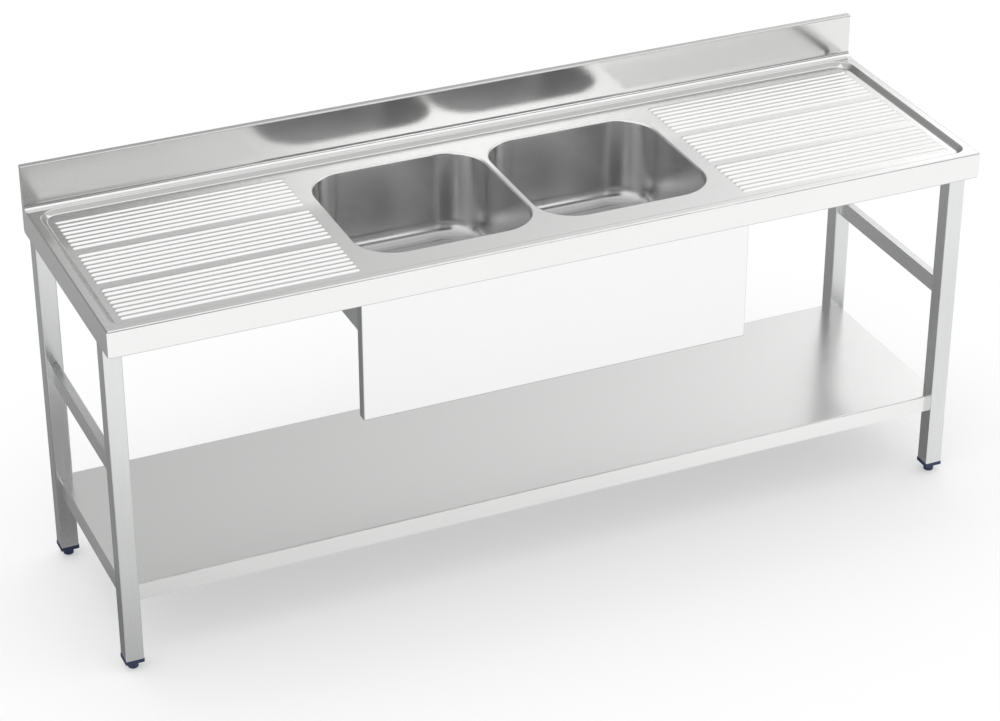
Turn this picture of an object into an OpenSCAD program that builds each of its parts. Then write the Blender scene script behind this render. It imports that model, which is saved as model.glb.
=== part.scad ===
// Professional sink table of stainless sheet: two bowls, a ribbed drainer each side and a lower shelf.
// The origin is on the floor under the middle of the worktop, +X to the right, the front at -Y.

/* [Worktop] */
// Width of the worktop
top_w = 2000; // [1800:20:2400]
// Depth of the worktop, front to rear
top_d = 600; // [580:10:700]
// Height of the worktop's rim above the floor
top_h = 850; // [800:10:950]
// Thickness of the worktop's sheet
sheet_t = 1.2; // [0.8:0.1:1.5]
// Height of the folded aprons
apron_h = 60; // [50:5:80]
// Width of the fold under each apron
lip_w = 20; // [18:1:26]
// Bend radius of the front edge
edge_r = 4; // [3:0.5:6]
// Radius of the relief hole at each lower corner of the aprons
relief_r = 3; // [2:0.5:5]

/* [Upstand] */
// Height of the upstand above the rim
upstand_h = 100; // [60:5:150]
// Thickness of the boxed upstand
upstand_t = 18; // [14:1:30]
// Bend radius at the upstand's foot
foot_bend_r = 12; // [4:1:16]
// Bend radius along the upstand's crest
crest_r = 3; // [2:0.5:5]

/* [Sunk deck] */
// Width of the flat rim at the front and the sides
rim_w = 20; // [14:1:30]
// Width of the flat rim in front of the upstand
rear_rim_w = 18; // [16:1:30]
// Depth of the sunk deck below the rim
sink_depth = 10; // [6:1:12]
// Horizontal run of the sunk deck's sloping walls
sink_run = 12; // [6:1:16]
// Corner radius of the sunk deck at the front
front_corner_r = 30; // [24:1:60]
// Corner radius of the sunk deck at the rear
rear_corner_r = 45; // [24:1:60]
// Radius of the bends above and below the sloping wall
sink_bend_r = 4; // [2:0.5:6]

/* [Drainers] */
// Groups of ribs on each drainer
rib_groups = 3; // [2:1:3]
// Distance between ribs
rib_pitch = 18; // [16:0.5:18.5]
// Width of a rib
rib_w = 13.5; // [10:0.5:14]
// Height of a rib
rib_h = 3; // [2:0.25:4]
// Distance between the end ribs of two groups
rib_group_gap = 37.3; // [24:0.1:38]
// Flat between a rib's outer end and the deck's sloping wall
rib_outer_flat = 14; // [8:1:40]
// Flat between a rib's inner end and the bowl
rib_inner_flat = 34.5; // [10:0.5:80]
// Least flat between the front and rear ribs and the deck's sloping walls
rib_edge_flat = 23; // [12:1:26]
// Shift of the ribs to the front of the deck's middle
rib_shift = 3; // [0:1:5]

/* [Bowls] */
// Width of a bowl
bowl_w = 400; // [340:10:430]
// Depth of a bowl from front to rear
bowl_d = 400; // [340:10:430]
// Depth of a bowl below the sunk deck
bowl_h = 200; // [150:10:250]
// Corner radius of a bowl in plan
bowl_r = 90; // [60:5:120]
// Radius between a bowl's wall and floor
bowl_fillet = 38; // [20:1:45]
// Thickness of a bowl's wall
bowl_t = 1.2; // [0.8:0.1:1.5]
// Gap between the two bowls
bowl_gap = 15; // [12:1:60]
// Radius of the drawn collar round a bowl's opening
collar_r = 4; // [3:0.5:5]
// Straight neck below the collar's radius
collar_neck = 3; // [2:0.5:8]

/* [Waste fittings] */
// Radius of the hole in a bowl's floor
drain_hole_r = 26; // [24:0.5:28]
// Radius of the pressed seat round the hole
seat_r = 42; // [41:0.5:50]
// Depth of the pressed seat
seat_depth = 4; // [3.6:0.1:5]
// Radius of the waste's flange
flange_r = 38.5; // [36:0.5:40]
// Thickness of the waste's flange
flange_t = 2; // [1:0.1:2.5]
// Radius of the opening in the waste's flange
grid_r = 23; // [20:0.5:23]
// Width of a bar in the grid
grid_bar = 3; // [2:0.5:5]
// Thickness of the upper seal
upper_seal_t = 1.5; // [1:0.1:2]
// Thickness of the lower seal
lower_seal_t = 3; // [2:0.1:5]
// Outer radius of the waste's cup
cup_r = 31; // [30:0.5:34]
// Height of the waste's cup
cup_h = 34; // [28:1:60]
// Wall of the waste's body
cup_wall = 3; // [2:0.5:3.5]
// Radius of the threaded tail
tail_r = 23.9; // [20:0.1:24.5]
// Length of the threaded tail
tail_l = 30; // [20:1:50]

/* [Front panel] */
// Distance from the left bowl's opening to the panel's left side
panel_left_flat = 57.5; // [30:0.5:90]
// Distance from the right bowl's opening to the panel's right side
panel_right_flat = 20.5; // [18:0.5:90]
// Height of the panel below the apron
panel_h = 271; // [200:1:300]
// Depth of the panel's side returns
panel_return = 24; // [22:1:60]
// Thickness of the panel's sheet
panel_t = 1.2; // [0.8:0.1:1.5]

/* [Stiffeners] */
// Height of the channels under the deck
channel_h = 25; // [20:1:30]
// Width of a drainer channel's crown
channel_w = 40; // [30:5:60]
// Width of a channel's flange
channel_flange = 15; // [10:1:20]
// Thickness of the channels' sheet
channel_t = 1.5; // [1:0.1:2]
// Height of the cross stiffeners below the deck
stiffener_h = 117.8; // [90:0.1:140]
// Width of the cross stiffeners' folds
stiffener_fold = 12; // [8:1:12]

/* [Legs] */
// Side of the square leg tube
leg_w = 40; // [36:1:45]
// Wall of the leg tube
leg_t = 1.5; // [1:0.1:2]
// Outer corner radius of the leg tube
leg_r = 3; // [2.5:0.5:5]
// Distance from the worktop's front to the front legs
leg_front_set = 46.6; // [44:0.1:80]
// Distance from the worktop's rear to the rear legs
leg_rear_set = 37; // [34:0.5:60]
// Length of a leg plate
plate_l = 76; // [72:1:86]
// Thickness of a leg plate
plate_t = 4; // [3:0.5:6]
// Distance between a leg plate's bolts
plate_bolt_pitch = 58; // [56:1:60]

/* [Side rails] */
// Height of the side rails' lower face above the floor
rail_z = 461; // [400:1:520]
// Height of a side rail
rail_h = 40; // [30:5:50]
// Width of a side rail
rail_w = 20; // [15:5:30]
// Wall of a side rail
rail_t = 1.2; // [1:0.1:2]

/* [Shelf] */
// Height of the shelf above the floor
shelf_z = 205; // [150:5:300]
// Height of the shelf's folded edges
shelf_edge_h = 40; // [30:5:50]
// Thickness of the shelf's sheet
shelf_t = 1.2; // [0.8:0.1:1.5]
// Distance from a leg's outer face to the shelf's side edge
shelf_side_set = 10.8; // [6:0.1:20]
// Distance from a leg's front or rear face to the shelf's edge
shelf_end_set = 16.9; // [8:0.1:25]
// Width of the fold under the shelf's edges
shelf_lip = 12; // [8:1:16]
// Distance between the shelf channels' centre lines
shelf_channel_pitch = 200; // [120:5:240]

/* [Feet] */
// Height of a foot's base, screwed right in
base_h = 19.5; // [15:0.5:30]
// Radius of a foot's base
base_r = 11.5; // [10:0.5:16]
// Chamfer round the underside of a foot's base
base_chamfer = 1.5; // [0.5:0.5:3]
// Thickness of the insert's flange
insert_flange_t = 7.5; // [4:0.5:10]
// How far the insert's flange stands proud of the leg
insert_proud = 1; // [0:0.5:2]
// Length of the insert's plug inside the leg
plug_l = 34; // [28:1:50]
// Outer radius of the insert's core
plug_r = 13; // [12.5:0.5:15]
// Radius of the foot's stud
stud_r = 6; // [5:0.5:6]
// Length of the stud above the foot's base
stud_l = 70; // [60:1:90]

/* [Fasteners] */
// Radius of the leg bolts
leg_bolt_r = 4; // [3:0.5:4]
// Radius of the panel bolts
panel_bolt_r = 3; // [2:0.5:3]
// Number of panel bolts
panel_bolt_count = 4; // [2:1:6]
// Radius of the waste screws
waste_screw_r = 3; // [2:0.5:3]

/* [Hidden] */
$fn = 48;

// Overrun of the cuts
over = 1;
// Running clearance round a foot's stud
stud_clear = 0.05;
// Clearance of a fold in its slot or notch
fold_clear = 0.5;
// How deep a stud is moulded into its base
stud_seat = 14;
// Fins on an insert's plug and their thickness
fin_count = 3;
fin_t = 2;
// Bend radius of the shelf and of the panel
fold_r = 3;
// Outer corner radius of a side rail
rail_r = 2.5;
// Distance from the panel's side to its outer bolts
panel_bolt_inset = 60;
// How far a leg plate reaches past the leg
// Length of a bolt's end past its nut
bolt_end = 2;
// Sizes of hexagon heads and nuts as shares of the bolt's radius
hex_r_share = 1.85;
head_h_share = 1.3;
nut_h_share = 1.6;
// Radius of a boss as a share of its screw's radius
boss_r_share = 2.2;

// Places on the worktop
side_x = top_w / 2;
front_y = -top_d / 2;
rear_y = top_d / 2;
apron_z = top_h - apron_h;
upstand_y = rear_y - upstand_t;
crest_z = top_h + upstand_h;
deck_z = top_h - sink_depth;
under_z = deck_z - sheet_t;
sunk_x = side_x - rim_w;
sunk_front = front_y + rim_w;
sunk_rear = upstand_y - rear_rim_w;
floor_x = sunk_x - sink_run;
floor_front = sunk_front + sink_run;
floor_rear = sunk_rear - sink_run;

// Places of the bowls and of the waste fittings
bowl_x = (bowl_w + bowl_gap) / 2;
bowl_edge = bowl_x + bowl_w / 2;
weld_z = deck_z - collar_r - collar_neck;
floor_z = deck_z - bowl_h;
seat_z = floor_z - seat_depth;
seat_under = seat_z - bowl_t;
flange_z = seat_z + upper_seal_t;
waste_head_r = waste_screw_r * hex_r_share;
waste_head_h = flange_t / 2;
body_top = seat_under - lower_seal_t;
cup_z = body_top - cup_h;
tail_z = cup_z - tail_l;

// Lie of the sloping wall round the sunk deck
sink_fall = [sink_run, sink_depth] / norm([sink_run, sink_depth]);
sink_normal = [-sink_fall.y, sink_fall.x];
sink_bend_reach = sink_bend_r * sink_fall.y / (1 + sink_fall.x);

// Places of the ribs
rib_outer = floor_x - rib_outer_flat;
rib_inner = bowl_edge + rib_inner_flat;
rib_bend = (pow(rib_w / 2, 2) + pow(rib_h, 2)) / (2 * rib_h);
rib_mid_y = (floor_front + floor_rear) / 2 - rib_shift;
rib_space = floor_rear - floor_front - 2 * rib_edge_flat - rib_w - (rib_groups - 1) * rib_group_gap;
rib_count = 1 + floor(rib_space / (rib_groups * rib_pitch));
group_pitch = (rib_count - 1) * rib_pitch + rib_group_gap;

// Places of the legs and feet
leg_out = side_x - sheet_t;
leg_in = leg_out - leg_w;
leg_x = leg_out - leg_w / 2;
front_leg_y = front_y + leg_front_set + leg_w / 2;
rear_leg_y = rear_y - leg_rear_set - leg_w / 2;
channel_z = under_z - channel_h;
plate_z = channel_z - plate_t;
leg_z = base_h + insert_flange_t;
plug_z = leg_z + plug_l;
foot_nut_r = stud_r * hex_r_share;
foot_nut_h = stud_r * nut_h_share;

// Places of the panel, the stiffeners and the shelf
panel_left = -(bowl_edge + panel_left_flat);
panel_right = bowl_edge + panel_right_flat;
panel_z = apron_z - panel_h;
drainer_x = (rib_inner + rib_outer) / 2;
shelf_x = leg_out - shelf_side_set;
shelf_front = front_y + leg_front_set + shelf_end_set;
shelf_rear = rear_y - leg_rear_set - shelf_end_set;
shelf_under = shelf_z - shelf_t;

steel = [0.84, 0.84, 0.83];
dull_steel = [0.66, 0.67, 0.67];
navy = [0.13, 0.17, 0.29];
grey_plastic = [0.55, 0.56, 0.57];
black_rubber = [0.10, 0.10, 0.10];

// Square from one corner to the other
module area(from, to) {
    translate(from) square(to - from);
}

// Block from one corner to the other
module block(from, to) {
    translate(from) cube(to - from);
}

// Rectangle with one radius on its front corners and one on its rear corners
module rounded(from, to, front_r, rear_r) {
    area([from.x, from.y + front_r], [to.x, to.y - rear_r]);
    area([from.x + front_r, from.y], [to.x - front_r, from.y + front_r]);
    area([from.x + rear_r, to.y - rear_r], [to.x - rear_r, to.y]);
    for (x = [from.x + front_r, to.x - front_r]) translate([x, from.y + front_r]) circle(front_r);
    for (x = [from.x + rear_r, to.x - rear_r]) translate([x, to.y - rear_r]) circle(rear_r);
}

// Square tube's section
module tube_section(w, h, r, t) {
    difference() {
        rounded([-w / 2, -h / 2], [w / 2, h / 2], r, r);
        rounded([t - w / 2, t - h / 2], [w / 2 - t, h / 2 - t], r - t / 2, r - t / 2);
    }
}

// Stands a section drawn in depth and height on its place and draws it out along +X
module along_x(from, length) {
    translate([from, 0, 0]) rotate([90, 0, 90]) linear_extrude(length) children();
}

// Stands a section drawn in width and height on its place and draws it out along +Y
module along_y(from, length) {
    translate([0, from + length, 0]) rotate([90, 0, 0]) linear_extrude(length) children();
}

// Waste left outside a rounded corner whose centre is the origin
module corner_waste(r, side, rise) {
    difference() {
        area([side < 0 ? -r - over : 0, rise < 0 ? -r - over : 0],
             [side < 0 ? 0 : r + over, rise < 0 ? 0 : r + over]);
        circle(r);
    }
}

// Sweeps a section, drawn in distance outwards and height, round a rounded rectangle
module around(w, d, r) {
    for (turn = [0 : 3]) {
        side = turn == 0 || turn == 3 ? 1 : -1;
        depth = turn < 2 ? 1 : -1;
        half = turn % 2 == 0 ? w / 2 : d / 2;
        run = turn % 2 == 0 ? d - 2 * r : w - 2 * r;
        translate([side * (w / 2 - r), depth * (d / 2 - r), 0])
            rotate(90 * turn) rotate_extrude(angle = 90) translate([r, 0]) children();
        rotate(90 * turn) translate([half, run / 2, 0]) rotate([90, 0, 0]) linear_extrude(run) children();
    }
}

// Top-hat section hanging under height zero
module hat_section(w) {
    difference() {
        union() {
            area([-w / 2, -channel_h], [w / 2, 0]);
            area([-w / 2 - channel_flange, -channel_t], [w / 2 + channel_flange, 0]);
        }
        area([channel_t - w / 2, channel_t - channel_h], [w / 2 - channel_t, over]);
    }
}

// Hexagon bolt pointing up, its head under height zero
module bolt(r, length) {
    translate([0, 0, -r * head_h_share]) cylinder(h = r * head_h_share, r = r * hex_r_share, $fn = 6);
    cylinder(h = length, r = r);
}

// Hexagon nut standing on height zero
module nut(r, bore_r) {
    difference() {
        cylinder(h = r * nut_h_share, r = r * hex_r_share, $fn = 6);
        translate([0, 0, -over]) cylinder(h = r * nut_h_share + 2 * over, r = bore_r);
    }
}

// Outline of the worktop seen from the side, filled, inset by the sheet for its inner face
module side_outline(inset, base_z) {
    difference() {
        union() {
            area([front_y + inset, base_z], [rear_y - inset, top_h - inset]);
            area([upstand_y + inset, base_z], [rear_y - inset, crest_z - inset]);
            area([upstand_y - foot_bend_r, top_h - inset - over], [upstand_y + inset, top_h + foot_bend_r]);
        }
        translate([upstand_y - foot_bend_r, top_h + foot_bend_r]) circle(foot_bend_r + inset);
        translate([front_y + edge_r, top_h - edge_r]) corner_waste(edge_r - inset, -1, 1);
        translate([upstand_y + crest_r, crest_z - crest_r]) corner_waste(crest_r - inset, -1, 1);
        translate([rear_y - crest_r, crest_z - crest_r]) corner_waste(crest_r - inset, 1, 1);
    }
}

// Folded skin of the worktop before the deck is sunk
module worktop_skin() {
    along_x(-side_x, top_w) difference() {
        side_outline(0, apron_z);
        side_outline(sheet_t, apron_z + sheet_t);
        area([front_y + lip_w, apron_z - over], [rear_y - lip_w, apron_z + sheet_t + over]);
    }
    for (from = [-side_x, side_x - sheet_t]) along_x(from, sheet_t) side_outline(0, apron_z);
    for (from = [-side_x, side_x - lip_w])
        block([from, front_y + lip_w, apron_z], [from + lip_w, rear_y - lip_w, apron_z + sheet_t]);
    on_side_edges(0) intersection() {
        difference() {
            circle(edge_r);
            circle(edge_r - sheet_t);
        }
        area([0, 0], [edge_r, edge_r]);
    }
}

// Draws a section out along the upper edges of the two side aprons, its origin at the bend's centre
module on_side_edges(overrun) {
    for (side = [0, 1]) mirror([side, 0, 0])
        translate([side_x - edge_r, 0, top_h - edge_r])
            along_y(front_y - overrun, top_d - upstand_t - foot_bend_r + overrun) children();
}

// Space of the sunk deck, grown outwards, with its walls sloping from one height to the other
module sunk_space(grow, low_z, high_z) {
    slope = sink_run / sink_depth;
    low = (top_h - low_z) * slope - grow;
    high = (top_h - high_z) * slope - grow;
    height = high_z - low_z;
    along_y(sunk_front + front_corner_r, sunk_rear - rear_corner_r - sunk_front - front_corner_r)
        polygon([
            [low - sunk_x, low_z], [sunk_x - low, low_z], [sunk_x - high, high_z], [high - sunk_x, high_z]]);
    front_x = sunk_x - front_corner_r;
    rear_x = sunk_x - rear_corner_r;
    along_x(-front_x, 2 * front_x)
        polygon([[sunk_front + low, low_z], [0, low_z], [0, high_z], [sunk_front + high, high_z]]);
    along_x(-rear_x, 2 * rear_x)
        polygon([[0, low_z], [sunk_rear - low, low_z], [sunk_rear - high, high_z], [0, high_z]]);
    for (x = [-1, 1]) {
        translate([x * front_x, sunk_front + front_corner_r, low_z])
            cylinder(h = height, r1 = front_corner_r - low, r2 = front_corner_r - high);
        translate([x * rear_x, sunk_rear - rear_corner_r, low_z])
            cylinder(h = height, r1 = rear_corner_r - low, r2 = rear_corner_r - high);
    }
}

// Sweeps a section, drawn in distance outwards and height, round the sunk deck's outline, taken in
module round_deck(inset) {
    front_r = front_corner_r - inset;
    rear_r = rear_corner_r - inset;
    front = sunk_front + front_corner_r;
    rear = sunk_rear - rear_corner_r;
    for (side = [0, 1]) mirror([side, 0, 0]) {
        along_y(front, rear - front) translate([sunk_x - inset, 0]) children();
        translate([sunk_x - front_corner_r, front, 0]) rotate(-90)
            rotate_extrude(angle = 90) translate([front_r, 0]) children();
        translate([sunk_x - rear_corner_r, rear, 0])
            rotate_extrude(angle = 90) translate([rear_r, 0]) children();
    }
    translate([0, sunk_front + inset, 0]) mirror([0, 1, 0])
        along_x(front_corner_r - sunk_x, 2 * (sunk_x - front_corner_r)) children();
    translate([0, sunk_rear - inset, 0])
        along_x(rear_corner_r - sunk_x, 2 * (sunk_x - rear_corner_r)) children();
}

// Waste over the bend where the rim turns down to the sunk deck
module sink_bend_waste() {
    translate([0, top_h]) difference() {
        polygon([
            [sink_bend_reach, 0], [sink_bend_reach, over], [-over, over],
            -sink_bend_reach * sink_fall + over * sink_normal, -sink_bend_reach * sink_fall]);
        translate([sink_bend_reach, -sink_bend_r]) circle(sink_bend_r);
    }
}

// Fillet where the sloping wall runs out on the sunk deck
module sink_fillet() {
    translate([0, deck_z]) difference() {
        polygon([
            [-sink_bend_reach, 0], [-sink_bend_reach, -sheet_t / 2],
            sink_bend_reach * sink_fall - sheet_t / 2 * sink_normal, sink_bend_reach * sink_fall]);
        translate([-sink_bend_reach, sink_bend_r]) circle(sink_bend_r);
    }
}

// Pressed rib with domed ends, or with an inset the hollow under it
module rib(inset, base_z) {
    from = rib_inner + rib_w / 2;
    to = rib_outer - rib_w / 2;
    along_x(from, to - from) intersection() {
        translate([0, deck_z + rib_h - rib_bend]) circle(rib_bend - inset);
        area([inset - rib_w / 2, base_z], [rib_w / 2 - inset, deck_z + rib_h]);
    }
    for (x = [from, to]) translate([x, 0, 0]) rotate_extrude() intersection() {
        translate([0, deck_z + rib_h - rib_bend]) circle(rib_bend - inset);
        area([0, base_z], [rib_w / 2 - inset, deck_z + rib_h]);
    }
}

// The same form at the place of every rib of both drainers
module on_ribs() {
    for (side = [0, 1], group = [0 : rib_groups - 1], i = [0 : rib_count - 1]) {
        group_y = rib_mid_y + (group - (rib_groups - 1) / 2) * group_pitch;
        translate([0, group_y + (i - (rib_count - 1) / 2) * rib_pitch, 0]) mirror([side, 0, 0]) children();
    }
}

// Drawn collar that turns the deck down into a bowl
module collar() {
    around(bowl_w, bowl_d, bowl_r) {
        intersection() {
            translate([collar_r, deck_z - collar_r]) difference() {
                circle(collar_r);
                circle(collar_r - sheet_t);
            }
            area([0, deck_z - collar_r], [collar_r, deck_z]);
        }
        area([0, weld_z], [sheet_t, deck_z - collar_r]);
    }
}

module worktop() {
    color(steel) {
        difference() {
            union() {
                difference() {
                    union() {
                        worktop_skin();
                        sunk_space(sheet_t * norm([1, sink_run / sink_depth]), under_z, top_h);
                    }
                    sunk_space(0, deck_z, top_h + over);
                }
                round_deck(sink_run) sink_fillet();
                on_ribs() rib(0, under_z + sheet_t / 2);
            }
            round_deck(0) sink_bend_waste();
            on_side_edges(over) corner_waste(edge_r, 1, 1);
            on_ribs() rib(sheet_t, under_z - over);
            for (x = [-bowl_x, bowl_x]) translate([x, 0, under_z - over])
                linear_extrude(sheet_t + 2 * over)
                    rounded([-bowl_w / 2 - collar_r, -bowl_d / 2 - collar_r],
                            [bowl_w / 2 + collar_r, bowl_d / 2 + collar_r],
                            bowl_r + collar_r, bowl_r + collar_r);
            for (x = [-leg_x, leg_x], y = [front_leg_y, rear_leg_y])
                translate([x, y, apron_z]) cube([leg_w, leg_w, 2 * sheet_t + over], center = true);
            for (x = [-leg_out, leg_out], y = [front_y + sheet_t, rear_y - sheet_t])
                translate([x, y, apron_z - over]) cylinder(h = relief_r + over, r = relief_r);
            on_panel_bolts(apron_z - over) cylinder(h = sheet_t + 2 * over, r = panel_bolt_r);
        }
        for (x = [-bowl_x, bowl_x]) translate([x, 0, 0]) collar();
    }
}

// Pressed bowl: wall, rounded foot, flat floor and the pressed seat of its drain
module bowl(x) {
    color(steel) translate([x, 0, 0]) {
        around(bowl_w, bowl_d, bowl_r) {
            area([0, floor_z + bowl_fillet], [bowl_t, weld_z]);
            translate([-bowl_fillet, floor_z + bowl_fillet]) difference() {
                intersection() {
                    circle(bowl_fillet + bowl_t);
                    area([0, -bowl_fillet - bowl_t], [bowl_fillet + bowl_t, 0]);
                }
                circle(bowl_fillet);
            }
        }
        difference() {
            translate([0, 0, floor_z - bowl_t]) linear_extrude(bowl_t)
                rounded([bowl_fillet - bowl_w / 2, bowl_fillet - bowl_d / 2],
                        [bowl_w / 2 - bowl_fillet, bowl_d / 2 - bowl_fillet],
                        bowl_r - bowl_fillet, bowl_r - bowl_fillet);
            translate([0, 0, floor_z - bowl_t - over]) cylinder(h = bowl_t + 2 * over, r = seat_r);
        }
        rotate_extrude() polygon([
            [drain_hole_r, seat_z], [seat_r - seat_depth / 2, seat_z], [seat_r, floor_z],
            [seat_r + bowl_t, floor_z], [seat_r + bowl_t, floor_z - bowl_t],
            [seat_r + bowl_t - seat_depth / 2, seat_under], [drain_hole_r, seat_under]]);
    }
}

module bowl_left() { bowl(-bowl_x); }
module bowl_right() { bowl(bowl_x); }

// Channel that carries the legs at one end of the worktop, drawn for the right end
module end_channel() {
    color(dull_steel) difference() {
        along_y(front_y + edge_r, top_d - 2 * edge_r) {
            area([leg_in, channel_z], [leg_out, channel_z + channel_t]);
            area([leg_in, channel_z], [leg_in + channel_t, under_z]);
            area([leg_out - channel_t, channel_z], [leg_out, top_h - edge_r]);
            area([leg_in - channel_flange, under_z - channel_t], [leg_in, under_z]);
        }
        for (y = [front_leg_y, rear_leg_y], i = [-1, 1])
            translate([leg_x, y + i * plate_bolt_pitch / 2, channel_z - over])
                cylinder(h = channel_t + 2 * over, r = leg_bolt_r);
    }
}

module end_channel_right() { end_channel(); }
module end_channel_left() { mirror([1, 0, 0]) end_channel(); }

// Top-hat channel under the ribs of one drainer
module drainer_channel(x) {
    color(dull_steel) translate([x, 0, under_z])
        along_y(floor_front, floor_rear - floor_front) hat_section(channel_w);
}

module drainer_channel_left() { drainer_channel(-drainer_x); }
module drainer_channel_right() { drainer_channel(drainer_x); }

// Folded plate from apron to apron beside a bowl, drawn with its folds towards +X
module cross_stiffener() {
    low_z = under_z - stiffener_h;
    color(dull_steel) difference() {
        union() {
            block([0, front_y + fold_r, low_z], [channel_t, rear_y - sheet_t, under_z]);
            block([0, floor_front, under_z - channel_t], [channel_t + stiffener_fold, floor_rear, under_z]);
            block([0, front_y + panel_return, low_z],
                  [channel_t + stiffener_fold, rear_y - panel_return, low_z + channel_t]);
        }
        block([-over, front_y, apron_z - panel_t - fold_clear],
              [channel_t + over, front_y + panel_return + fold_clear, apron_z + sheet_t + fold_clear]);
        block([-over, rear_y - lip_w - fold_clear, apron_z - fold_clear],
              [channel_t + over, rear_y, apron_z + sheet_t + fold_clear]);
    }
}

module cross_stiffener_left() { translate([panel_left + panel_t, 0, 0]) cross_stiffener(); }
module cross_stiffener_right() {
    translate([panel_right - panel_t, 0, 0]) mirror([1, 0, 0]) cross_stiffener();
}

// Places of the panel's bolts, all in the apron's fold
module on_panel_bolts(z) {
    first = panel_left + panel_bolt_inset;
    step = (panel_right - panel_bolt_inset - first) / (panel_bolt_count - 1);
    for (i = [0 : panel_bolt_count - 1])
        translate([first + i * step, front_y + (sheet_t + lip_w) / 2, z]) children();
}

module front_panel() {
    rear = front_y + panel_return;
    color(steel) difference() {
        translate([0, 0, panel_z]) linear_extrude(panel_h) difference() {
            rounded([panel_left, front_y], [panel_right, rear + fold_r], fold_r, fold_r);
            area([panel_left - over, rear], [panel_right + over, rear + fold_r + over]);
        }
        translate([0, 0, panel_z + panel_t]) linear_extrude(panel_h - 2 * panel_t)
            rounded([panel_left + panel_t, front_y + panel_t], [panel_right - panel_t, rear + 2 * fold_r],
                    fold_r - panel_t, fold_r - panel_t);
        on_panel_bolts(apron_z - panel_t - over) cylinder(h = panel_t + 2 * over, r = panel_bolt_r);
    }
}

module panel_bolts() {
    color(dull_steel) on_panel_bolts(apron_z - panel_t)
        bolt(panel_bolt_r, panel_t + sheet_t + panel_bolt_r * nut_h_share + bolt_end);
}

module panel_nuts() {
    color(dull_steel) on_panel_bolts(apron_z + sheet_t) nut(panel_bolt_r, panel_bolt_r);
}

// Leg of square tube
module leg(x, y) {
    color(steel) translate([x, y, leg_z])
        linear_extrude(plate_z - leg_z) tube_section(leg_w, leg_w, leg_r, leg_t);
}

module leg_front_left() { leg(-leg_x, front_leg_y); }
module leg_front_right() { leg(leg_x, front_leg_y); }
module leg_rear_left() { leg(-leg_x, rear_leg_y); }
module leg_rear_right() { leg(leg_x, rear_leg_y); }

// Plate welded on a leg's top and bolted to the end channel
module leg_plate(x, y) {
    color(dull_steel) translate([x, y, plate_z]) difference() {
        block([-leg_w / 2, -plate_l / 2, 0], [leg_w / 2, plate_l / 2, plate_t]);
        for (i = [-1, 1]) translate([0, i * plate_bolt_pitch / 2, -over])
            cylinder(h = plate_t + 2 * over, r = leg_bolt_r);
    }
}

module leg_plate_front_left() { leg_plate(-leg_x, front_leg_y); }
module leg_plate_front_right() { leg_plate(leg_x, front_leg_y); }
module leg_plate_rear_left() { leg_plate(-leg_x, rear_leg_y); }
module leg_plate_rear_right() { leg_plate(leg_x, rear_leg_y); }

// Places of the leg bolts
module on_leg_bolts(z) {
    for (x = [-leg_x, leg_x], y = [front_leg_y, rear_leg_y], i = [-1, 1])
        translate([x, y + i * plate_bolt_pitch / 2, z]) children();
}

module leg_bolts() {
    color(dull_steel) on_leg_bolts(plate_z)
        bolt(leg_bolt_r, plate_t + channel_t + leg_bolt_r * nut_h_share + bolt_end);
}

module leg_nuts() {
    color(dull_steel) on_leg_bolts(channel_z + channel_t) nut(leg_bolt_r, leg_bolt_r);
}

// Rail between the front and the rear leg of one end
module side_rail(x) {
    front = front_leg_y + leg_w / 2;
    color(steel) translate([x, 0, rail_z + rail_h / 2])
        along_y(front, rear_leg_y - leg_w / 2 - front) tube_section(rail_w, rail_h, rail_r, rail_t);
}

module side_rail_left() { side_rail(-leg_x); }
module side_rail_right() { side_rail(leg_x); }

// Block with its upper edges rounded as the shelf's folds are, inset for the inner face
module folded_block(inset, low_z) {
    depth = shelf_rear - shelf_front;
    r = fold_r - inset;
    intersection() {
        along_y(shelf_front + inset, depth - 2 * inset) difference() {
            area([inset - shelf_x, low_z], [shelf_x - inset, shelf_z - inset]);
            translate([fold_r - shelf_x, shelf_z - fold_r]) corner_waste(r, -1, 1);
            translate([shelf_x - fold_r, shelf_z - fold_r]) corner_waste(r, 1, 1);
        }
        along_x(inset - shelf_x, 2 * (shelf_x - inset)) difference() {
            area([shelf_front + inset, low_z], [shelf_rear - inset, shelf_z - inset]);
            translate([shelf_front + fold_r, shelf_z - fold_r]) corner_waste(r, -1, 1);
            translate([shelf_rear - fold_r, shelf_z - fold_r]) corner_waste(r, 1, 1);
        }
    }
}

module shelf() {
    low_z = shelf_z - shelf_edge_h;
    color(steel) difference() {
        folded_block(0, low_z);
        folded_block(shelf_t, low_z + shelf_t);
        block([shelf_lip - shelf_x, shelf_front + shelf_lip, low_z - over],
              [shelf_x - shelf_lip, shelf_rear - shelf_lip, low_z + shelf_t + over]);
        for (x = [-leg_x, leg_x], y = [front_leg_y, rear_leg_y])
            translate([x, y, shelf_z - shelf_edge_h / 2])
                cube([leg_w, leg_w, shelf_edge_h + 2 * over], center = true);
    }
}

// Top-hat channel along the shelf's underside
module shelf_channel(shift) {
    color(dull_steel) translate([0, (shelf_front + shelf_rear) / 2 + shift, shelf_under])
        along_x(fold_r - shelf_x, 2 * (shelf_x - fold_r)) hat_section(channel_w);
}

module shelf_channel_front() { shelf_channel(-shelf_channel_pitch / 2); }
module shelf_channel_rear() { shelf_channel(shelf_channel_pitch / 2); }

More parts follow.
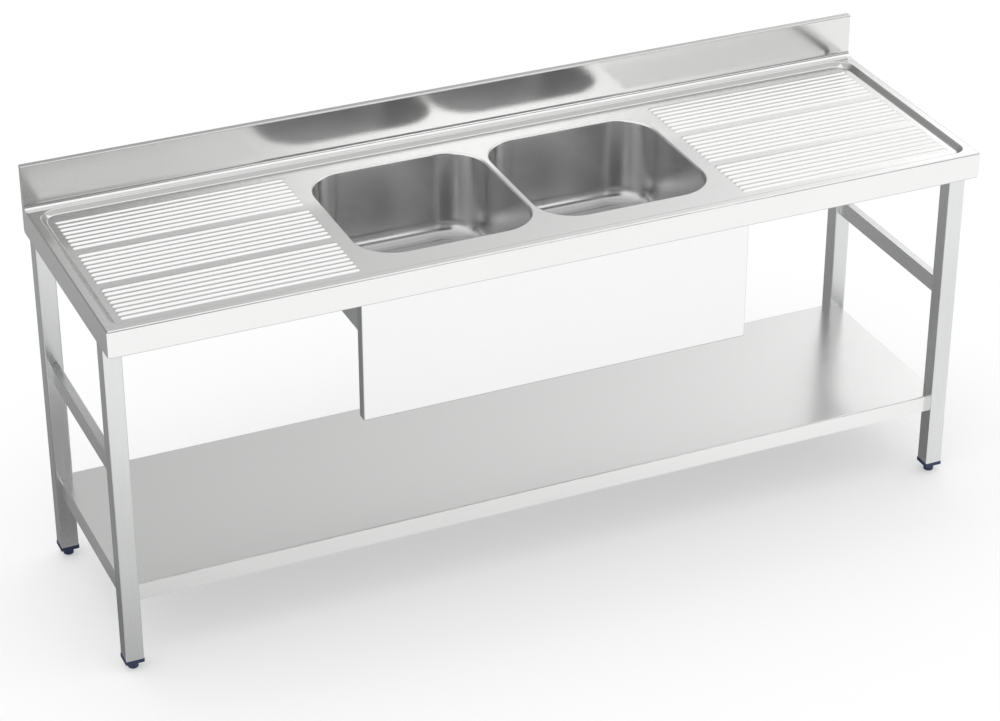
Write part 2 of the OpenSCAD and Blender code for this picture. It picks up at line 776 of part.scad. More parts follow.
// Plastic insert that closes a leg and holds the foot's nut
module foot_insert(x, y) {
    flange_w = leg_w + 2 * insert_proud;
    fin_w = leg_w - 2 * leg_t;
    fin_pitch = (plug_l - fin_t) / fin_count;
    color(navy) translate([x, y, base_h]) difference() {
        union() {
            linear_extrude(insert_flange_t)
                rounded([-flange_w / 2, -flange_w / 2], [flange_w / 2, flange_w / 2], leg_r, leg_r);
            cylinder(h = insert_flange_t + plug_l, r = plug_r);
            for (i = [1 : fin_count])
                translate([0, 0, insert_flange_t + i * fin_pitch]) linear_extrude(fin_t)
                    rounded([-fin_w / 2, -fin_w / 2], [fin_w / 2, fin_w / 2],
                            leg_r - leg_t / 2, leg_r - leg_t / 2);
        }
        translate([0, 0, -over]) cylinder(h = insert_flange_t + plug_l + 2 * over, r = stud_r + stud_clear);
        translate([0, 0, insert_flange_t + plug_l - foot_nut_h])
            cylinder(h = foot_nut_h + over, r = foot_nut_r, $fn = 6);
    }
}

module foot_insert_front_left() { foot_insert(-leg_x, front_leg_y); }
module foot_insert_front_right() { foot_insert(leg_x, front_leg_y); }
module foot_insert_rear_left() { foot_insert(-leg_x, rear_leg_y); }
module foot_insert_rear_right() { foot_insert(leg_x, rear_leg_y); }

module foot_nuts() {
    color(dull_steel) for (x = [-leg_x, leg_x], y = [front_leg_y, rear_leg_y])
        translate([x, y, plug_z - foot_nut_h]) nut(stud_r, stud_r + stud_clear);
}

// Threaded stud of a foot
module foot_stud(x, y) {
    color(dull_steel) translate([x, y, 0]) rotate_extrude() polygon([
        [0, base_h - stud_seat], [stud_r, base_h - stud_seat], [stud_r, base_h + stud_l - bolt_end],
        [stud_r - bolt_end / 2, base_h + stud_l], [0, base_h + stud_l]]);
}

module foot_stud_front_left() { foot_stud(-leg_x, front_leg_y); }
module foot_stud_front_right() { foot_stud(leg_x, front_leg_y); }
module foot_stud_rear_left() { foot_stud(-leg_x, rear_leg_y); }
module foot_stud_rear_right() { foot_stud(leg_x, rear_leg_y); }

// Round base moulded round the stud's lower end
module foot_base(x, y) {
    color(navy) translate([x, y, 0]) difference() {
        union() {
            cylinder(h = base_chamfer, r1 = base_r - base_chamfer, r2 = base_r);
            translate([0, 0, base_chamfer]) cylinder(h = base_h - base_chamfer, r = base_r);
        }
        translate([0, 0, base_h - stud_seat]) cylinder(h = stud_seat + over, r = stud_r);
    }
}

module foot_base_front_left() { foot_base(-leg_x, front_leg_y); }
module foot_base_front_right() { foot_base(leg_x, front_leg_y); }
module foot_base_rear_left() { foot_base(-leg_x, rear_leg_y); }
module foot_base_rear_right() { foot_base(leg_x, rear_leg_y); }

// Cross of bars with a boss in its middle
module spider(r, height) {
    for (turn = [0, 90]) rotate(turn) block([-r, -grid_bar / 2, 0], [r, grid_bar / 2, height]);
    cylinder(h = height, r = waste_screw_r * boss_r_share);
}

// Waste's flange on the bowl's side, with its grid and its throat through the hole
module waste_flange(x) {
    sink = flange_t - waste_head_h;
    color(steel) translate([x, 0, flange_z]) difference() {
        union() {
            rotate_extrude() polygon([
                [grid_r, 0], [grid_r, flange_t], [flange_r, flange_t], [flange_r, 0],
                [grid_r + flange_t, 0], [grid_r + flange_t, body_top - flange_z],
                [grid_r, body_top - flange_z]]);
            spider(grid_r + flange_t / 2, flange_t);
        }
        rotate_extrude() polygon([
            [0, -over], [waste_screw_r, -over], [waste_screw_r, sink], [waste_head_r, flange_t],
            [waste_head_r, flange_t + over], [0, flange_t + over]]);
    }
}

module waste_flange_left() { waste_flange(-bowl_x); }
module waste_flange_right() { waste_flange(bowl_x); }

// Flat ring from one height to another round a bowl's drain
module seal(x, low_z, height) {
    color(black_rubber) translate([x, 0, low_z]) difference() {
        cylinder(h = height, r = flange_r);
        translate([0, 0, -over]) cylinder(h = height + 2 * over, r = drain_hole_r);
    }
}

module waste_upper_seal_left() { seal(-bowl_x, seat_z, upper_seal_t); }
module waste_upper_seal_right() { seal(bowl_x, seat_z, upper_seal_t); }
module waste_lower_seal_left() { seal(-bowl_x, body_top, lower_seal_t); }
module waste_lower_seal_right() { seal(bowl_x, body_top, lower_seal_t); }

// Waste's body under a bowl: flange, cup, threaded tail and the spider that takes the screw
module waste_body(x) {
    bore_r = tail_r - cup_wall;
    cup_bore_r = cup_r - cup_wall;
    step = cup_r - tail_r;
    color(grey_plastic) translate([x, 0, 0]) {
        rotate_extrude() polygon([
            [cup_bore_r, body_top], [flange_r, body_top], [flange_r, body_top - cup_wall],
            [cup_r, body_top - cup_wall], [cup_r, cup_z + step], [tail_r, cup_z],
            [tail_r, tail_z], [bore_r, tail_z], [bore_r, cup_z], [cup_bore_r, cup_z + step]]);
        translate([0, 0, cup_z + step]) difference() {
            spider(cup_bore_r + cup_wall / 2, 2 * cup_wall);
            translate([0, 0, -over]) cylinder(h = 2 * (cup_wall + over), r = waste_screw_r);
        }
    }
}

module waste_body_left() { waste_body(-bowl_x); }
module waste_body_right() { waste_body(bowl_x); }

module waste_screws() {
    tip_z = cup_z + cup_r - tail_r - bolt_end;
    top_z = flange_z + flange_t;
    color(dull_steel) for (x = [-bowl_x, bowl_x]) translate([x, 0, 0]) {
        rotate_extrude() polygon([
            [0, tip_z], [waste_screw_r, tip_z], [waste_screw_r, top_z - waste_head_h],
            [waste_head_r, top_z], [0, top_z]]);
    }
}

worktop();
bowl_left();
bowl_right();
end_channel_left();
end_channel_right();
drainer_channel_left();
drainer_channel_right();
cross_stiffener_left();
cross_stiffener_right();
front_panel();
panel_bolts();
panel_nuts();
leg_front_left();
leg_front_right();
leg_rear_left();
leg_rear_right();
leg_plate_front_left();
leg_plate_front_right();
leg_plate_rear_left();
leg_plate_rear_right();
leg_bolts();
leg_nuts();
side_rail_left();
side_rail_right();
shelf();
shelf_channel_front();
shelf_channel_rear();
foot_insert_front_left();
foot_insert_front_right();
foot_insert_rear_left();
foot_insert_rear_right();
foot_nuts();
foot_stud_front_left();
foot_stud_front_right();
foot_stud_rear_left();
foot_stud_rear_right();
foot_base_front_left();
foot_base_front_right();
foot_base_rear_left();
foot_base_rear_right();
waste_flange_left();
waste_flange_right();
waste_upper_seal_left();
waste_upper_seal_right();
waste_lower_seal_left();
waste_lower_seal_right();
waste_body_left();
waste_body_right();
waste_screws();
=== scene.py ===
import math

import bmesh
import bpy
from mathutils import Matrix, Vector


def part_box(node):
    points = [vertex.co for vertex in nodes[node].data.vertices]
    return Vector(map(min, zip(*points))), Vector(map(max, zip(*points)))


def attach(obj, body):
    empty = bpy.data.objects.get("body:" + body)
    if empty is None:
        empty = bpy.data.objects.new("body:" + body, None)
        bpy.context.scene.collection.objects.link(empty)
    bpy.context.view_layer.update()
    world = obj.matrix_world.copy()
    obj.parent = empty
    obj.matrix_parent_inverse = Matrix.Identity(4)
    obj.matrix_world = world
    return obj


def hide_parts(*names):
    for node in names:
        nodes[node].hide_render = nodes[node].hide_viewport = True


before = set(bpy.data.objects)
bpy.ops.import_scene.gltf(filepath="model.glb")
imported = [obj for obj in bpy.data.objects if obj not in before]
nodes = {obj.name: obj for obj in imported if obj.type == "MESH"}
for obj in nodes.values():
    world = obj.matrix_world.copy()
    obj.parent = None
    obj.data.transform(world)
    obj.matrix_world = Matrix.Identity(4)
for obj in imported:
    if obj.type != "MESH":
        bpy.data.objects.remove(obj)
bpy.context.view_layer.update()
scene = bpy.context.scene
print("sink table: frame loaded,", len(nodes), "nodes")

sides = ("left", "right")
corners = ("front_left", "front_right", "rear_left", "rear_right")


# camera of the photograph, fitted to the table's corners and upright edges
cameraSpec = {
    "imageWidthPx": 1000,
    "focalPx": 2915.4,
    "sensorMm": 36.0,
    "farClip": 100.0,
    "place": (-2.3146, -5.1675, 3.6416),
    "azimuthDeg": 23.914,
    "elevationDeg": 29.803,
}


def makeCamera(spec):
    azimuth = math.radians(spec["azimuthDeg"])
    elevation = math.radians(spec["elevationDeg"])
    look = Vector((math.sin(azimuth) * math.cos(elevation),
                   math.cos(azimuth) * math.cos(elevation),
                   -math.sin(elevation)))
    right = Vector((math.cos(azimuth), -math.sin(azimuth), 0))
    up = right.cross(look)
    turn = Matrix((right, up, -look)).transposed()
    data = bpy.data.cameras.new("photoCamera")
    data.sensor_fit = "HORIZONTAL"
    data.sensor_width = spec["sensorMm"]
    data.lens = spec["focalPx"] / spec["imageWidthPx"] * spec["sensorMm"]
    data.clip_end = spec["farClip"]
    camera = bpy.data.objects.new("photoCamera", data)
    camera.matrix_world = Matrix.Translation(spec["place"]) @ turn.to_4x4()
    scene.collection.objects.link(camera)
    scene.camera = camera


makeCamera(cameraSpec)
print("sink table: camera set")


# helpers that add nodes to a material's graph

def newMaterial(name):
    material = bpy.data.materials.new(name)
    material.use_nodes = True
    graph = material.node_tree
    return material, graph, graph.nodes["Principled BSDF"]


def addNode(graph, kind, inputs, **settings):
    node = graph.nodes.new(kind)
    for name, setting in settings.items():
        setattr(node, name, setting)
    for key, value in inputs.items():
        if isinstance(value, bpy.types.NodeSocket):
            graph.links.new(value, node.inputs[key])
        else:
            node.inputs[key].default_value = value
    return node


def objectPlace(graph):
    return addNode(graph, "ShaderNodeTexCoord", {}).outputs["Object"]


def combine(graph, operation, *values):
    node = addNode(graph, "ShaderNodeMath", dict(enumerate(values)), operation=operation)
    return node.outputs["Value"]


def mix(graph, share, first, second, kind="FLOAT"):
    node = addNode(graph, "ShaderNodeMix", {"Factor": share, "A": first, "B": second}, data_type=kind)
    return node.outputs["Result"]


noiseRange = (0.3, 0.7)  # where most of a noise's values lie
seedShifts = (1.0, 0.7, 1.3)  # shift of a noise along x, y and z for each unit of its seed


def spread(graph, value, low, high, fromRange=noiseRange):
    node = addNode(graph, "ShaderNodeMapRange", {
        "Value": value, "From Min": fromRange[0], "From Max": fromRange[1], "To Min": low, "To Max": high})
    return node.outputs["Result"]


def stretchedNoise(graph, scale, detail, seed):
    mapping = addNode(graph, "ShaderNodeMapping", {
        "Vector": objectPlace(graph), "Scale": scale, "Location": [seed * shift for shift in seedShifts]})
    noise = addNode(graph, "ShaderNodeTexNoise", {
        "Vector": mapping.outputs["Vector"], "Scale": 1.0, "Detail": detail})
    return noise.outputs["Fac"]


def addBump(graph, shader, value, strength, depth):
    bump = addNode(graph, "ShaderNodeBump", {"Height": value, "Strength": strength, "Distance": depth})
    graph.links.new(bump.outputs["Normal"], shader.inputs["Normal"])


# areas of a piece with painted shade, a darker tone and a roughness of their own, placed by distances inwards
# from the faces of the node's box, in metres; soft is half the width over which an area fades out

# sloping wall round the sunk deck: painted shade, darker and rougher than the flats, standing in for the
# wall's grey reflection; its two bends are left out
wallPaintedShade = {"node": "worktop", "outside": 0.0100, "inside": 0.0375, "insideRear": 0.0505,
               "top": 0.1010, "bottom": 0.1088, "soft": 0.0008,
               "shadeTone": (0.53, 0.53, 0.525), "roughness": 0.34}

# upstand above its foot: painted shade, a darker tone than the deck, with a roughness of its own
upstandPaintedShade = {"node": "worktop", "front": 0.0188, "foot": 0.1050, "soft": 0.0008,
                 "shadeTone": (0.79, 0.79, 0.785), "roughness": 0.17}

# painted shade: thin dark line along the folded edges of the skirt panel, and along the cut edge under the
# aprons
panelEdgePaintedShade = {"node": "front_panel", "side": 0.0014, "bottom": 0.0016, "soft": 0.0004,
              "shadeTone": (0.50, 0.505, 0.50), "roughness": 0.40}
apronEdgePaintedShade = {"node": "worktop", "bottom": 0.0014, "soft": 0.0004,
              "shadeTone": (0.58, 0.585, 0.58), "roughness": 0.34}

# floor of the bowls, painted darker as shade down in the bowls; they are alike, so the left one's box serves
# both
bowlFloorPaintedShade = {"node": "bowl_left", "bottom": 0.0212, "soft": 0.0080,
                "shadeTone": (0.40, 0.40, 0.40), "roughness": 0.16}


# masks of the areas of painted shade, 1 inside and 0 outside

def placeParts(graph):
    return addNode(graph, "ShaderNodeSeparateXYZ", {"Vector": objectPlace(graph)}).outputs


def above(graph, value, at, soft):
    return spread(graph, value, 0, 1, (at - soft, at + soft))


def below(graph, value, at, soft):
    return combine(graph, "SUBTRACT", 1, above(graph, value, at, soft))


def merge(graph, operation, first, *others):
    for other in others:
        first = combine(graph, operation, first, other)
    return first


def wallMask(graph, spec):
    low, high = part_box(spec["node"])
    x, y, z = placeParts(graph)
    sideways = combine(graph, "ABSOLUTE", x)
    forwards = combine(graph, "MULTIPLY", y, -1)
    soft = spec["soft"]
    beyondFlat = merge(graph, "MAXIMUM",
                       above(graph, sideways, high.x - spec["inside"], soft),
                       above(graph, forwards, -low.y - spec["inside"], soft),
                       above(graph, y, high.y - spec["insideRear"], soft))
    return merge(graph, "MULTIPLY", beyondFlat,
                 below(graph, sideways, high.x - spec["outside"], soft),
                 below(graph, forwards, -low.y - spec["outside"], soft),
                 below(graph, z, high.z - spec["top"], soft),
                 above(graph, z, high.z - spec["bottom"], soft))


def upstandMask(graph, spec):
    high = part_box(spec["node"])[1]
    place = placeParts(graph)
    return merge(graph, "MULTIPLY",
                 above(graph, place["Y"], high.y - spec["front"], spec["soft"]),
                 above(graph, place["Z"], high.z - spec["foot"], spec["soft"]))


def panelEdgeMask(graph, spec):
    low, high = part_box(spec["node"])
    place = placeParts(graph)
    return merge(graph, "MAXIMUM",
                 below(graph, place["X"], low.x + spec["side"], spec["soft"]),
                 below(graph, place["Z"], low.z + spec["bottom"], spec["soft"]),
                 above(graph, place["X"], high.x - spec["side"], spec["soft"]))


def lowMask(graph, spec):
    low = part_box(spec["node"])[0]
    return below(graph, placeParts(graph)["Z"], low.z + spec["bottom"], spec["soft"])


# how fine the brushing is along and across its grain, in cycles per metre
grainScales = {
    "x": (9.0, 900.0, 900.0),
    "y": (900.0, 9.0, 900.0),
    "z": (900.0, 900.0, 9.0),
}

# what all brushed steels share
brushing = {"detail": 4.0, "depth": 0.0004, "cloudScale": (3.5, 3.5, 3.5), "cloudDetail": 3.0,
            "cloudSeedShift": 11.0, "cloudShare": 0.35}

steelSpecs = {
    "worktopSteel": {"grain": "x", "dark": (0.86, 0.86, 0.855), "light": (0.91, 0.91, 0.905),
                     "smooth": 0.16, "rough": 0.22, "bump": 0.10, "seed": 1.0,
                     "shadeAreas": ((wallMask, wallPaintedShade), (upstandMask, upstandPaintedShade),
                               (lowMask, apronEdgePaintedShade))},
    "panelSteel": {"grain": "x", "dark": (0.93, 0.93, 0.93), "light": (0.97, 0.97, 0.97),
                   "smooth": 0.30, "rough": 0.38, "bump": 0.10, "seed": 2.0,
                   "shadeAreas": ((panelEdgeMask, panelEdgePaintedShade),)},
    "shelfSteel": {"grain": "x", "dark": (0.90, 0.90, 0.895), "light": (0.95, 0.95, 0.945),
                   "smooth": 0.20, "rough": 0.27, "bump": 0.10, "seed": 3.0},
    "legSteel": {"grain": "z", "dark": (0.74, 0.745, 0.745), "light": (0.80, 0.805, 0.805),
                 "smooth": 0.20, "rough": 0.29, "bump": 0.08, "seed": 4.0},
    "railSteel": {"grain": "y", "dark": (0.80, 0.805, 0.805), "light": (0.87, 0.875, 0.875),
                  "smooth": 0.22, "rough": 0.30, "bump": 0.08, "seed": 5.0},
    "bowlSteel": {"grain": "z", "dark": (0.78, 0.78, 0.78), "light": (0.81, 0.81, 0.81),
                  "smooth": 0.22, "rough": 0.26, "bump": 0.012, "seed": 6.0,
                  "shadeAreas": ((lowMask, bowlFloorPaintedShade),)},
    "channelSteel": {"grain": "y", "dark": (0.55, 0.56, 0.56), "light": (0.68, 0.69, 0.69),
                     "smooth": 0.34, "rough": 0.46, "bump": 0.14, "seed": 7.0},
    "shelfChannelSteel": {"grain": "x", "dark": (0.55, 0.56, 0.56), "light": (0.68, 0.69, 0.69),
                          "smooth": 0.34, "rough": 0.46, "bump": 0.14, "seed": 8.0},
}


def makeSteel(name, spec):
    material, graph, shader = newMaterial(name)
    grain = stretchedNoise(graph, grainScales[spec["grain"]], brushing["detail"], spec["seed"])
    cloud = stretchedNoise(graph, brushing["cloudScale"], brushing["cloudDetail"],
                           spec["seed"] + brushing["cloudSeedShift"])
    value = mix(graph, brushing["cloudShare"], grain, cloud)
    colour = mix(graph, spread(graph, value, 0, 1), (*spec["dark"], 1), (*spec["light"], 1), "RGBA")
    roughness = spread(graph, value, spec["smooth"], spec["rough"])
    # each area of painted shade lays its darker tone and its roughness over the steel
    for areaMask, area in spec.get("shadeAreas", ()):
        mask = areaMask(graph, area)
        colour = mix(graph, mask, colour, (*area["shadeTone"], 1), "RGBA")
        roughness = mix(graph, mask, roughness, area["roughness"])
    shader.inputs["Metallic"].default_value = 1.0
    graph.links.new(colour, shader.inputs["Base Color"])
    graph.links.new(roughness, shader.inputs["Roughness"])
    addBump(graph, shader, grain, spec["bump"], brushing["depth"])
    return material


# what all speckled materials share
speckling = {"detail": 5.0, "seed": 3.0, "depth": 0.0003}

plainSpecs = {
    "fastenerSteel": {"dark": (0.50, 0.50, 0.50), "light": (0.66, 0.66, 0.66), "metallic": 1.0,
                      "smooth": 0.28, "rough": 0.42, "cycles": 260.0, "bump": 0.10},
    "weldSteel": {"dark": (0.44, 0.43, 0.41), "light": (0.62, 0.61, 0.59), "metallic": 1.0,
                  "smooth": 0.32, "rough": 0.52, "cycles": 700.0, "bump": 0.20},
    "wasteSteel": {"dark": (0.74, 0.74, 0.74), "light": (0.80, 0.80, 0.80), "metallic": 1.0,
                   "smooth": 0.10, "rough": 0.18, "cycles": 180.0, "bump": 0.04},
    "navyPlastic": {"dark": (0.010, 0.018, 0.060), "light": (0.022, 0.036, 0.105), "metallic": 0.0,
                    "smooth": 0.38, "rough": 0.55, "cycles": 420.0, "bump": 0.12},
    "greyPlastic": {"dark": (0.30, 0.31, 0.32), "light": (0.38, 0.39, 0.40), "metallic": 0.0,
                    "smooth": 0.40, "rough": 0.55, "cycles": 300.0, "bump": 0.10},
    "sealRubber": {"dark": (0.012, 0.012, 0.012), "light": (0.030, 0.030, 0.030), "metallic": 0.0,
                   "smooth": 0.60, "rough": 0.80, "cycles": 500.0, "bump": 0.20},
}


def makePlain(name, spec):
    material, graph, shader = newMaterial(name)
    speckle = stretchedNoise(graph, [spec["cycles"]] * 3, speckling["detail"], speckling["seed"])
    colour = mix(graph, spread(graph, speckle, 0, 1), (*spec["dark"], 1), (*spec["light"], 1), "RGBA")
    roughness = spread(graph, speckle, spec["smooth"], spec["rough"])
    shader.inputs["Metallic"].default_value = spec["metallic"]
    graph.links.new(colour, shader.inputs["Base Color"])
    graph.links.new(roughness, shader.inputs["Roughness"])
    addBump(graph, shader, speckle, spec["bump"], speckling["depth"])
    return material


finishes = {name: makeSteel(name, spec) for name, spec in steelSpecs.items()}
finishes.update({name: makePlain(name, spec) for name, spec in plainSpecs.items()})


# which finish each node wears
nodeFinishes = {
    "worktopSteel": ["worktop"],
    "panelSteel": ["front_panel"],
    "shelfSteel": ["shelf"],
    "legSteel": [f"leg_{corner}" for corner in corners],
    "railSteel": [f"side_rail_{side}" for side in sides],
    "bowlSteel": [f"bowl_{side}" for side in sides],
    "channelSteel": [f"{kind}_{side}" for kind in ("end_channel", "drainer_channel", "cross_stiffener")
                     for side in sides] + [f"leg_plate_{corner}" for corner in corners],
    "shelfChannelSteel": ["shelf_channel_front", "shelf_channel_rear"],
    "fastenerSteel": ["panel_bolts", "panel_nuts", "leg_bolts", "leg_nuts", "foot_nuts", "waste_screws"]
                     + [f"foot_stud_{corner}" for corner in corners],
    "wasteSteel": [f"waste_flange_{side}" for side in sides],
    "navyPlastic": [f"foot_{kind}_{corner}" for kind in ("insert", "base") for corner in corners],
    "greyPlastic": [f"waste_body_{side}" for side in sides],
    "sealRubber": [f"waste_{kind}_seal_{side}" for kind in ("upper", "lower") for side in sides],
}

for finishName, wearers in nodeFinishes.items():
    for nodeName in wearers:
        for slot in nodes[nodeName].material_slots:
            slot.material = finishes[finishName]
print("sink table: finishes on")


# small pieces: threads and weld beads

def linkMesh(name, bm, material):
    mesh = bpy.data.meshes.new(name)
    bm.to_mesh(mesh)
    bm.free()
    mesh.materials.append(material)
    piece = bpy.data.objects.new(name, mesh)
    scene.collection.objects.link(piece)
    return piece


# what all threads share: spare turns beyond each end, which are cut off, and the widths, in metres, within
# which points are joined and cuts are snapped
sweeping = {"spareTurns": 1.5, "joinWithin": 1e-6, "cutWithin": 1e-7}


def sweepThread(bm, spec, low, high):
    pitch = spec["pitch"]
    start = low - sweeping["spareTurns"] * pitch
    turns = round((high - low) / pitch) + 2 * sweeping["spareTurns"]
    zigzag = []
    for index in range(round(2 * turns)):
        radius = spec["crest"] if index % 2 else spec["root"]
        zigzag.append(bm.verts.new((radius, 0, start + index * pitch / 2)))
    lines = [bm.edges.new(pair) for pair in zip(zigzag, zigzag[1:])]
    bmesh.ops.spin(bm, geom=zigzag + lines, cent=(0, 0, 0), axis=(0, 0, 1), angle=math.tau,
                   dvec=(0, 0, pitch / spec["steps"]), steps=spec["steps"], use_merge=False)
    bmesh.ops.remove_doubles(bm, verts=bm.verts, dist=sweeping["joinWithin"])
    for height, atFoot in ((low, True), (high, False)):
        bmesh.ops.bisect_plane(bm, geom=bm.verts[:] + bm.edges[:] + bm.faces[:], dist=sweeping["cutWithin"],
                               plane_co=(0, 0, height), plane_no=(0, 0, 1),
                               clear_inner=atFoot, clear_outer=not atFoot)


def standAtMiddle(bm, low, high):
    bmesh.ops.translate(bm, verts=bm.verts, vec=((low.x + high.x) / 2, (low.y + high.y) / 2, 0))
    bmesh.ops.recalc_face_normals(bm, faces=bm.faces)


# stud of a screw foot, with its thread as turned
footStudSpec = {"crest": 0.0060, "root": 0.00515, "pitch": 0.00175, "steps": 20, "tip": 0.0012}


def makeFootStud(corner, spec):
    node = f"foot_stud_{corner}"
    low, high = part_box(node)
    bm = bmesh.new()
    sweepThread(bm, spec, low.z, high.z)
    bmesh.ops.holes_fill(bm, edges=[edge for edge in bm.edges if edge.is_boundary], sides=0)
    tip = high.z - spec["tip"]
    for vert in bm.verts:
        if vert.co.z > tip:
            taper = 1 - (vert.co.z - tip) / spec["crest"]
            bmesh.ops.scale(bm, verts=[vert], vec=(taper, taper, 1))
    standAtMiddle(bm, low, high)
    stud = linkMesh(f"threadedStud_{corner}", bm, finishes["fastenerSteel"])
    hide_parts(node)
    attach(stud, f"foot_{corner}")


for corner in corners:
    makeFootStud(corner, footStudSpec)
print("sink table: threaded studs on the feet")


# moulded thread round the tail of each waste, where the trap screws on
tailThreadSpec = {"crest": 0.0247, "root": 0.0238, "wall": 0.0006, "pitch": 0.002309, "steps": 40,
                  "start": 0.0015, "length": 0.021}


def makeTailThread(side, spec):
    low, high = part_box(f"waste_body_{side}")
    bottom = low.z + spec["start"]
    bm = bmesh.new()
    sweepThread(bm, spec, bottom, bottom + spec["length"])
    bmesh.ops.recalc_face_normals(bm, faces=bm.faces)
    bmesh.ops.solidify(bm, geom=bm.faces[:], thickness=spec["wall"])
    standAtMiddle(bm, low, high)
    thread = linkMesh(f"tailThread_{side}", bm, finishes["greyPlastic"])
    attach(thread, "frame")


for side in sides:
    makeTailThread(side, tailThreadSpec)
print("sink table: threads on the wastes")


# rippled weld beads of the rails and the leg plates; pinch is how much narrower a bead is between ripples
beadSpec = {"radius": 0.0016, "sides": 10, "ripple": 0.0011, "fewestRipples": 4, "pinch": 0.84,
            "inset": 0.0045}


def layBead(bm, start, end, spec):
    start, end = Vector(start), Vector(end)
    run = end - start
    steps = max(spec["fewestRipples"], round(run.length / spec["ripple"]))
    turn = run.to_track_quat("Z", "Y").to_matrix().to_4x4()
    ring = bmesh.ops.create_circle(bm, cap_ends=True, segments=spec["sides"],
                                   radius=spec["radius"] * spec["pinch"],
                                   matrix=Matrix.Translation(start) @ turn)["verts"]
    face = next(iter(ring[0].link_faces))
    for index in range(steps):
        last = face
        grown = bmesh.ops.extrude_face_region(bm, geom=[last])["geom"]
        face = next(item for item in grown if isinstance(item, bmesh.types.BMFace))
        if index:  # only the first face stays, as the bead's end
            bmesh.ops.delete(bm, geom=[last], context="FACES_ONLY")
        bmesh.ops.translate(bm, verts=face.verts, vec=run / steps)
        share = spec["pinch"] if index % 2 else 1 / spec["pinch"]
        bmesh.ops.scale(bm, verts=face.verts, vec=(share,) * 3,
                        space=Matrix.Translation(-face.calc_center_median()))


def makeBeads(spec):
    bm = bmesh.new()
    inset = spec["inset"]
    for side in sides:
        low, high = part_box(f"side_rail_{side}")
        for y in (low.y, high.y):
            for z in (low.z, high.z):
                layBead(bm, (low.x + inset, y, z), (high.x - inset, y, z), spec)
    for corner in corners:
        low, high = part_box(f"leg_{corner}")
        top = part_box(f"leg_plate_{corner}")[0].z
        for y in (low.y, high.y):
            layBead(bm, (low.x + inset, y, top), (high.x - inset, y, top), spec)
        inner = min(low.x, high.x, key=abs)  # the outer side stands close behind the apron
        layBead(bm, (inner, low.y + inset, top), (inner, high.y - inset, top), spec)
    bmesh.ops.recalc_face_normals(bm, faces=bm.faces)
    beads = linkMesh("weldBeads", bm, finishes["weldSteel"])
    for polygon in beads.data.polygons:
        polygon.use_smooth = True
    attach(beads, "frame")


makeBeads(beadSpec)
print("sink table: weld beads laid")


# studio: white surroundings, a pale floor and soft grey cards that only reflections see
studioSpec = {
    "floorHalf": 60.0,
    "floorColour": (0.97, 0.97, 0.97),
    "floorRoughness": 0.9,
    "floorGlow": 0.40,
    "skyStrength": 1.0,
    "lampStrength": 0.30,
    "lampSpreadDeg": 60.0,
}


def makeSky(spec):
    world = bpy.data.worlds.new("studioSky")
    world.use_nodes = True
    background = world.node_tree.nodes["Background"]
    background.inputs["Color"].default_value = (1, 1, 1, 1)
    background.inputs["Strength"].default_value = spec["skyStrength"]
    scene.world = world


def makeLamp(spec):
    data = bpy.data.lights.new("topLamp", "SUN")
    data.energy = spec["lampStrength"]
    data.angle = math.radians(spec["lampSpreadDeg"])
    lamp = bpy.data.objects.new("topLamp", data)
    lamp.visible_glossy = False
    scene.collection.objects.link(lamp)


def makeFloor(spec):
    material, graph, shader = newMaterial("studioFloor")
    shader.inputs["Base Color"].default_value = (*spec["floorColour"], 1)
    shader.inputs["Roughness"].default_value = spec["floorRoughness"]
    shader.inputs["Specular IOR Level"].default_value = 0.0
    rays = addNode(graph, "ShaderNodeLightPath", {}).outputs
    seen = combine(graph, "MAXIMUM", rays["Is Camera Ray"], rays["Is Glossy Ray"])
    glow = addNode(graph, "ShaderNodeEmission", {})
    both = addNode(graph, "ShaderNodeMixShader", {
        0: combine(graph, "MULTIPLY", seen, spec["floorGlow"]),
        1: shader.outputs["BSDF"], 2: glow.outputs["Emission"]})
    graph.links.new(both.outputs["Shader"], graph.nodes["Material Output"].inputs["Surface"])
    bm = bmesh.new()
    bmesh.ops.create_grid(bm, x_segments=1, y_segments=1, size=spec["floorHalf"])
    linkMesh("studioFloor", bm, material)


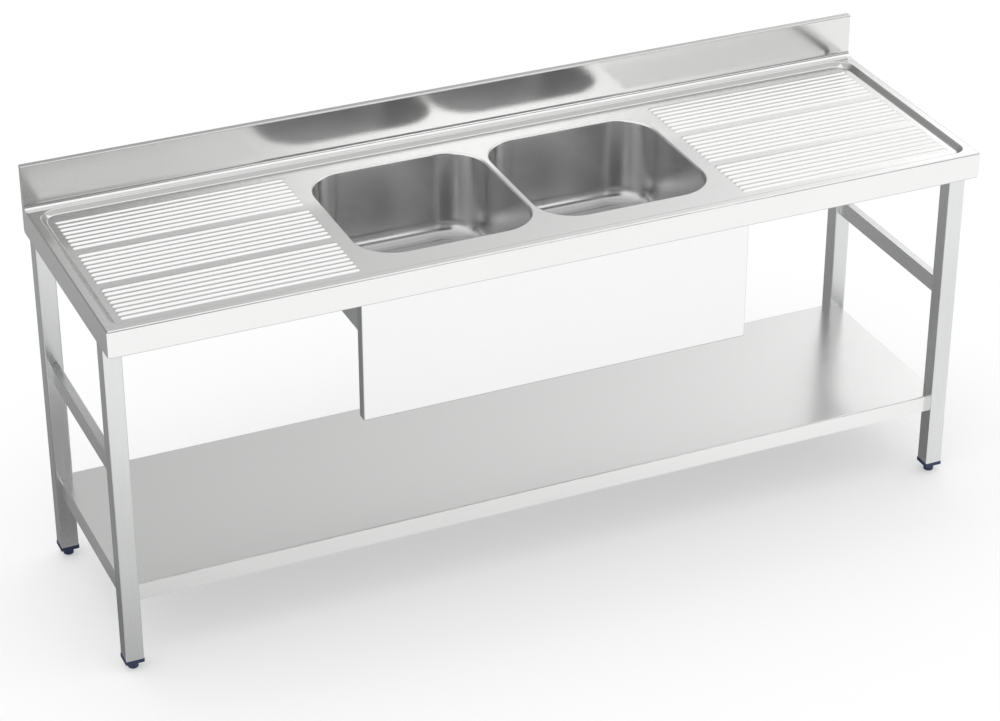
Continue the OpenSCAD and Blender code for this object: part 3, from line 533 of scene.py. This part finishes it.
# each card is a rectangle between two corners, flat or upright, and its grey follows the distance along a
# direction, from stop to stop
cardLift = 0.004  # height over the floor of the cards that lie or start there
backY = 20.0  # upright cards behind the table
frontY = -6.0  # upright cards in front of the table, behind the camera
cardSpecs = {
    "floorBefore": {"low": (-1.8, -1.15, cardLift), "high": (1.8, -0.26, cardLift), "direction": (0.5, -1, 0),
                    "stops": ((-0.2, 0.52), (0.0, 0.62), (0.2, 0.72), (0.5, 0.77), (0.8, 0.88),
                              (1.0, 0.93), (1.7, 0.93))},
    "floorBeneath": {"low": (-5.0, -0.24, cardLift), "high": (1.2, 0.34, cardLift), "direction": (0, 1, 0),
                     "stops": ((-0.24, 0.20), (0.05, 0.21), (0.18, 0.29), (0.34, 0.27))},
    "floorBehind": {"low": (-5.0, 0.34, cardLift), "high": (1.2, 3.74, cardLift), "direction": (0, 1, 0),
                    "stops": ((0.34, 0.27), (0.6, 0.28), (1.0, 0.33), (1.4, 0.38), (3.7, 0.40))},
    "floorFarLeft": {"low": (-24.0, 3.74, cardLift), "high": (-2.0, 19.94, cardLift), "direction": (1, 0, 0),
                     "stops": ((-12.0, 0.34), (-2.0, 0.42))},
    "behindLeft": {"low": (-34.0, backY, cardLift), "high": (-2.0, backY, 12.5), "direction": (1, 0, 0),
                   "stops": ((-20.0, 0.20), (-6.0, 0.28), (-2.0, 0.38))},
    "behindLow": {"low": (-2.0, backY, cardLift), "high": (26.0, backY, 12.5), "direction": (1, 0, 4),
                  "stops": ((30.0, 0.38), (48.0, 0.41), (50.6, 0.48), (53.2, 0.58), (54.9, 0.67),
                            (57.3, 0.76), (59.1, 0.90), (61.0, 1.15), (62.5, 1.75), (64.0, 2.00))},
    "behindHigh": {"low": (-34.0, backY, 12.5), "high": (26.0, backY, 22.0), "direction": (1, 0, -2.2),
                   "stops": ((-42.0, 0.22), (-35.0, 0.30), (-30.0, 0.46), (-26.5, 0.58), (-24.8, 0.66),
                             (-22.6, 0.74), (-20.7, 0.80), (-18.5, 0.88), (-16.5, 1.00), (-15.3, 1.25),
                             (-14.2, 1.65), (-13.0, 1.90))},
    "frontLow": {"low": (-4.0, frontY, 0.6), "high": (10.0, frontY, 3.1), "direction": (0, 0, 1),
                 "stops": ((0.6, 0.50), (1.6, 0.16), (3.1, 0.12))},
    "frontMiddle": {"low": (-4.0, frontY, 3.1), "high": (10.0, frontY, 5.3), "direction": (1, 0, 0),
                    "stops": ((0.6, 0.36), (1.1, 0.62), (1.5, 0.80), (1.8, 1.30), (2.2, 1.65), (3.4, 1.75),
                              (3.7, 1.10), (4.7, 0.95))},
    "frontHigh": {"low": (-4.0, frontY, 5.3), "high": (10.0, frontY, 9.2), "direction": (1, 0, 0),
                  "stops": ((1.2, 0.12), (2.0, 0.30), (3.2, 0.30), (4.0, 0.12))},
    "overhead": {"low": (-20.0, -19.0, 20.0), "high": (30.0, 19.8, 20.0), "direction": (1, 0, 0),
                 "stops": ((-4.0, 1.02), (4.0, 1.06), (12.0, 1.10))},
}


def cardMaterial(name, spec):
    material, graph, shader = newMaterial(name)
    graph.nodes.remove(shader)
    distance = addNode(graph, "ShaderNodeVectorMath", {0: objectPlace(graph), 1: spec["direction"]},
                       operation="DOT_PRODUCT").outputs["Value"]
    near, far = spec["stops"][0][0], spec["stops"][-1][0]
    ramp = addNode(graph, "ShaderNodeValToRGB", {"Fac": spread(graph, distance, 0, 1, (near, far))})
    greys = ramp.color_ramp.elements
    greys.remove(greys[-1])
    for place, grey in spec["stops"]:
        stop = greys[0] if place == near else greys.new((place - near) / (far - near))
        stop.color = (grey, grey, grey, 1)
    glow = addNode(graph, "ShaderNodeEmission", {"Color": ramp.outputs["Color"]})
    graph.links.new(glow.outputs["Emission"], graph.nodes["Material Output"].inputs["Surface"])
    return material


def makeCard(name, spec):
    low, high = spec["low"], spec["high"]
    outline = (low, (high[0], *low[1:]), high, (low[0], *high[1:]))
    bm = bmesh.new()
    bm.faces.new([bm.verts.new(point) for point in outline])
    card = linkMesh(name, bm, cardMaterial(name, spec))
    card.visible_camera = False
    card.visible_diffuse = False
    card.visible_shadow = False


makeSky(studioSpec)
makeLamp(studioSpec)
makeFloor(studioSpec)
for cardName, cardSpec in cardSpecs.items():
    makeCard(cardName, cardSpec)
scene.view_settings.view_transform = "Standard"
print("sink table: studio ready")
